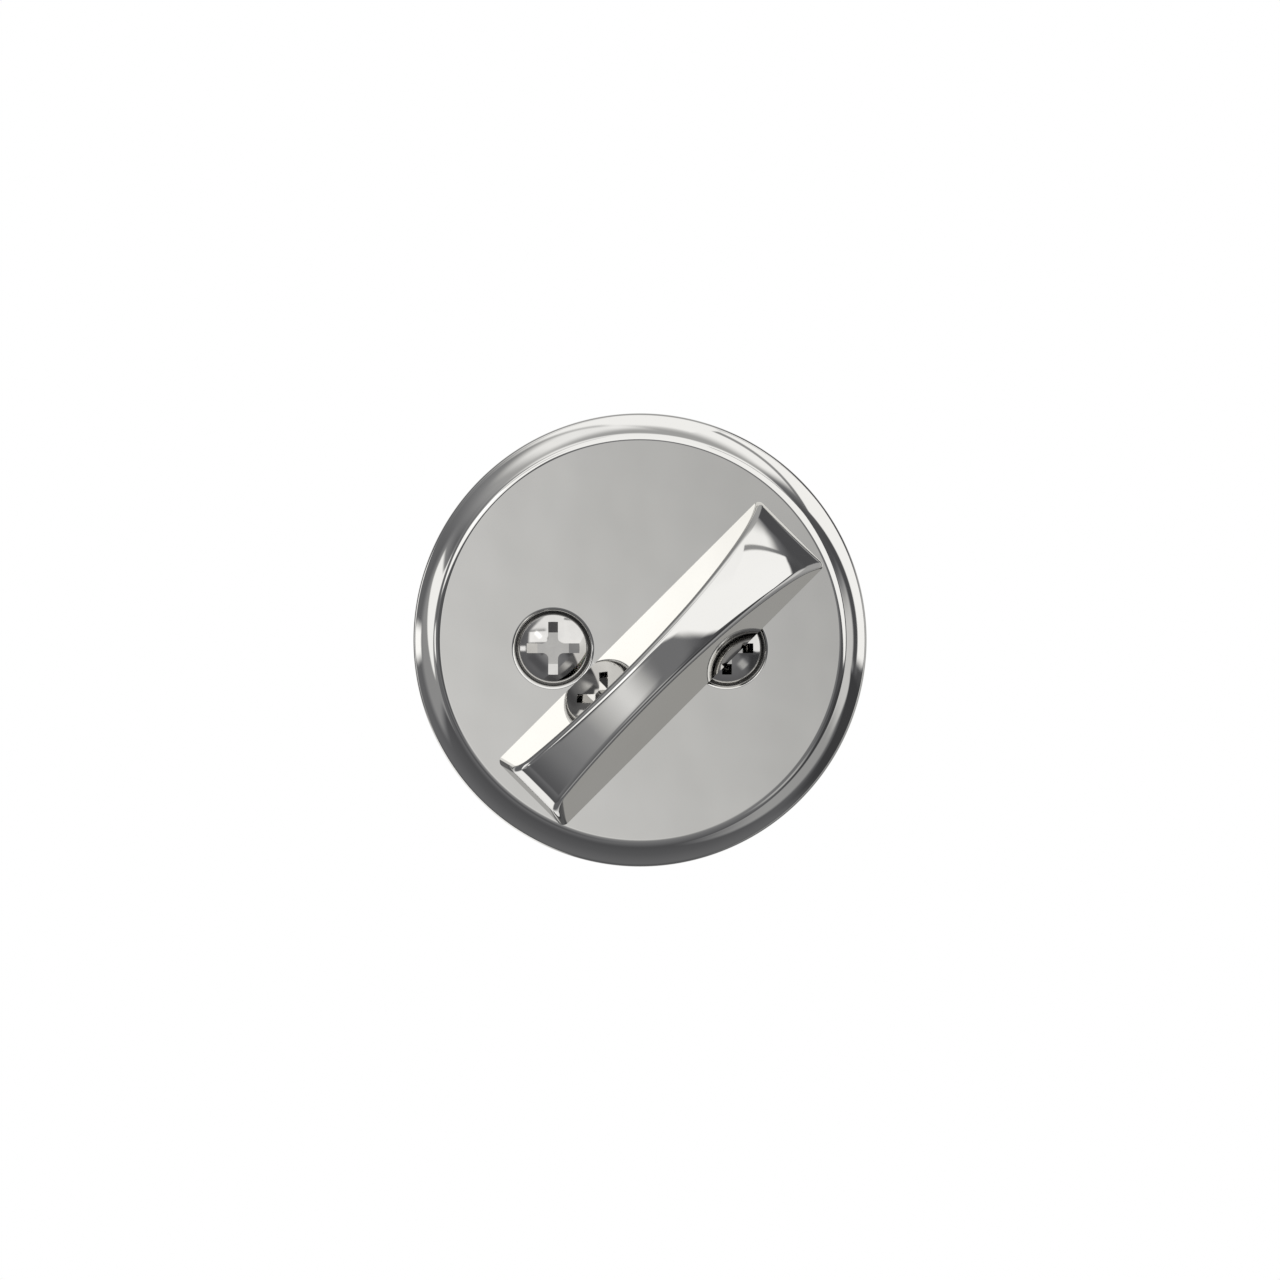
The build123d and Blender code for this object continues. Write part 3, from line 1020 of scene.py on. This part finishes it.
direction = add_node(tree, "TexCoord").outputs["Generated"]
parts = add_node(tree, "SeparateXYZ", {0: direction}).outputs
facing = add_node(tree, "Math", {0: 1.0, 1: parts["Y"]}, operation="SUBTRACT").outputs[0]
facing = add_node(tree, "Math", {0: facing, 1: least_facing}, operation="MAXIMUM").outputs[0]
across = add_node(tree, "Math", {0: parts["X"], 1: facing}, operation="DIVIDE").outputs[0]
upward = add_node(tree, "Math", {0: parts["Z"], 1: facing}, operation="DIVIDE").outputs[0]
slope = add_node(tree, "CombineXYZ", {0: across, 1: upward}).outputs[0]
steepness = add_node(tree, "VectorMath", {0: slope}, operation="LENGTH").outputs["Value"]
# The wall behind the lens is bright round the lens itself, and darker the further off.
wall_at_lens = 0.9
wall_far_off = 0.1
wall_levels = (
    (0.04, 0.89), (0.09, 0.59), (0.13, 0.37), (0.2, 0.26), (0.35, 0.21), (0.5, 0.18), (0.7, 0.135)
)
wall = add_node(tree, "ValToRGB", {"Fac": steepness})
wall.color_ramp.elements[0].color = grey(wall_at_lens)
wall.color_ramp.elements[1].color = grey(wall_far_off)
for reach, level in wall_levels:
    wall.color_ramp.elements.new(reach).color = grey(level)
light = wall.outputs["Color"]

# Each panel has its brightness, then its straight edges: the way they face, how far out, how soft.
panels = {
    "lens shade": (0.22, (205, -0.009, 0.04), (67, 0.3, 0.03), (270, 0.16, 0.09), (0, 0.6, 0.05)),
    "shade skirt": (0.1, (205, -0.14, 0.04), (67, 0.3, 0.03), (270, 0.16, 0.09), (0, 0.6, 0.05)),
    "low left shade": (0.13, (45, -0.26, 0.06), (225, 0.42, 0.05), (135, 0.2, 0.08), (315, 0.2, 0.08)),
    "window head": (0.48, (270, -0.45, 0.25), (0, 0.55, 0.2), (180, 0.75, 0.25)),
    "main soft box": (
        1.23,
        (248, -0.124, 0.014),
        (0, 0.63, 0.015),
        (90, 0.48, 0.012),
        (270, 0.06, 0.02),
        (180, 0.12, 0.03),
    ),
    "upper soft box": (1.2, (138.5, 0.485, 0.03), (0, 0.18, 0.006), (90, 0.71, 0.04), (270, -0.3, 0.05)),
    "high left glow": (1.1, (180, 0.42, 0.12), (318.5, -0.51, 0.03), (90, 0.8, 0.1), (270, -0.52, 0.08)),
    "high right glow": (1.2, (0, 0.52, 0.08), (90, 0.73, 0.11), (270, -0.525, 0.01), (180, 0.1, 0.03)),
    "upper left shade": (0.12, (315, -0.045, 0.015), (135, 0.25, 0.02), (45, 0.05, 0.03), (225, 0.2, 0.03)),
    "left soft box": (1.3, (0, -0.09, 0.015), (180, 0.4, 0.03), (90, 0.27, 0.012), (270, -0.09, 0.015)),
    "left strip light": (1.9, (135, 0.39, 0.02), (315, -0.25, 0.02), (45, 0.012, 0.012), (225, 0.05, 0.03)),
    "left wash": (0.36, (0, -0.6, 0.06), (90, 0.35, 0.1), (270, 0.3, 0.05)),
    "left wall": (1.2, (0, -0.65, 0.02), (90, 0.3, 0.02), (325.5, -0.651, 0.02)),
    "left lamp": (1.35, (0, -0.457, 0.015), (180, 0.597, 0.02), (90, 0.035, 0.02), (270, 0.045, 0.02)),
    "low right wall": (0.42, (140, -0.705, 0.04), (45, 0.7, 0.1), (225, 0.35, 0.25)),
    "right wall": (0.75, (180, -0.7, 0.03), (90, 0.2, 0.15), (270, 0.32, 0.1)),
    "right flag": (0.1, (180, -0.645, 0.01), (0, 0.755, 0.03), (90, 0.45, 0.1), (270, 0.1, 0.05)),
    "low right flag": (0.065, (320, 0.65, 0.02), (180, -0.36, 0.06), (90, -0.1, 0.02), (270, 0.42, 0.1)),
    "low right fill": (0.54, (315, 0.44, 0.02), (135, -0.29, 0.03), (45, 0.06, 0.04), (225, 0.06, 0.04)),
}
for name, (brightness, *edges) in panels.items():
    mask = None
    for angle, distance, soft in edges:
        edge = tree.nodes.new("ShaderNodeGroup")
        edge.node_tree = straight_edge
        edge.label = name
        tree.links.new(slope, edge.inputs["Slope"])
        edge.inputs["Facing"].default_value = (cos(radians(angle)), sin(radians(angle)), 0)
        edge.inputs["Distance"].default_value = distance
        edge.inputs["Soft"].default_value = soft
        inside = edge.outputs["Inside"]
        if mask:
            inside = add_node(tree, "Math", {0: mask, 1: inside}, operation="MULTIPLY").outputs[0]
        mask = inside
    light = add_node(tree, "Mix", {"Factor": mask, "A": light, "B": brightness}).outputs["Result"]

# Behind the unit it is light to the low left, dim beside, dark to the high right, and white straight back.
low_left_level = 1.15
high_right_level = 0.1
straight_back_start = 0.55
straight_back_full = 0.8
horizon_near = -0.04
horizon_far = 0.06
high_right = (sqrt(0.5), sqrt(0.5), 0)
way = add_node(tree, "VectorMath", {0: slope}, operation="NORMALIZE").outputs["Vector"]
way = add_node(tree, "VectorMath", {0: way, 1: high_right}, operation="DOT_PRODUCT").outputs["Value"]
way = add_node(tree, "MapRange", {"Value": way, "From Min": -1.0, "From Max": 1.0}).outputs["Result"]
beside_levels = ((0.02, 1.15), (0.06, 0.16), (0.5, 0.16), (0.75, 0.45), (0.94, 0.45), (0.975, 0.1))
beside = add_node(tree, "ValToRGB", {"Fac": way})
beside.color_ramp.elements[0].color = grey(low_left_level)
beside.color_ramp.elements[1].color = grey(high_right_level)
for turn, level in beside_levels:
    beside.color_ramp.elements.new(turn).color = grey(level)
beside = beside.outputs["Color"]
straight_behind = add_node(
    tree,
    "MapRange",
    {"Value": parts["Y"], "From Min": straight_back_start, "From Max": straight_back_full},
).outputs["Result"]
behind_level = add_node(tree, "Mix", {"Factor": straight_behind, "A": beside, "B": 1.0}).outputs["Result"]
behind = add_node(
    tree,
    "MapRange",
    {"Value": parts["Y"], "From Min": horizon_near, "From Max": horizon_far},
    interpolation_type="SMOOTHSTEP",
).outputs["Result"]
mirrored = add_node(tree, "Mix", {"Factor": behind, "A": light, "B": behind_level}).outputs["Result"]

path = add_node(tree, "LightPath").outputs
seen = add_node(
    tree, "Math", {0: path["Is Glossy Ray"], 1: path["Is Transmission Ray"]}, operation="MAXIMUM"
).outputs[0]
strength = add_node(tree, "Mix", {"Factor": seen, "A": soft_light, "B": mirrored}).outputs["Result"]
from_lens = path["Is Camera Ray"]
strength = add_node(tree, "Mix", {"Factor": from_lens, "A": strength, "B": 1.0}).outputs["Result"]
bright = add_node(
    tree, "MapRange", {"Value": strength, "From Min": cool_level, "From Max": white_level}
).outputs["Result"]
tint = mixed_colour(tree, bright, cool, white)
backdrop = add_node(tree, "Background", {"Color": tint, "Strength": strength})
add_node(tree, "OutputWorld", {"Surface": backdrop.outputs[0]})

# A soft lamp over the unit casts its shadow on the floor.
lamp = bpy.data.lights.new("overhead", "AREA")
lamp.shape = "DISK"
lamp.size = 0.6
lamp.energy = 3.0
overhead = bpy.data.objects.new("overhead", lamp)
overhead.location = (-0.25, -0.3, 0.8)
lamp_aim = Vector((0, 0, -0.05))
overhead.rotation_euler = (lamp_aim - overhead.location).to_track_quat("-Z", "Y").to_euler()
overhead.visible_glossy = False
bpy.context.scene.collection.objects.link(overhead)

# Camera
# Straight on to the rose from across the room, as flat as a long lens makes it.
# The lens follows from how wide the frame is at the rose, and it isn't shifted.
lens_distance = 1.6
frame_width = 0.1878
sensor_width = 36.0
camera_data = bpy.data.cameras.new("camera")
camera_data.sensor_width = sensor_width
camera_data.lens = sensor_width * lens_distance / frame_width
camera = bpy.data.objects.new("camera", camera_data)
camera.location = (0, -lens_distance, 0)
camera.rotation_euler = (radians(90), 0, 0)
bpy.context.scene.collection.objects.link(camera)
bpy.context.scene.camera = camera
bpy.context.scene.view_settings.view_transform = "Standard"

bpy.context.view_layer.update()
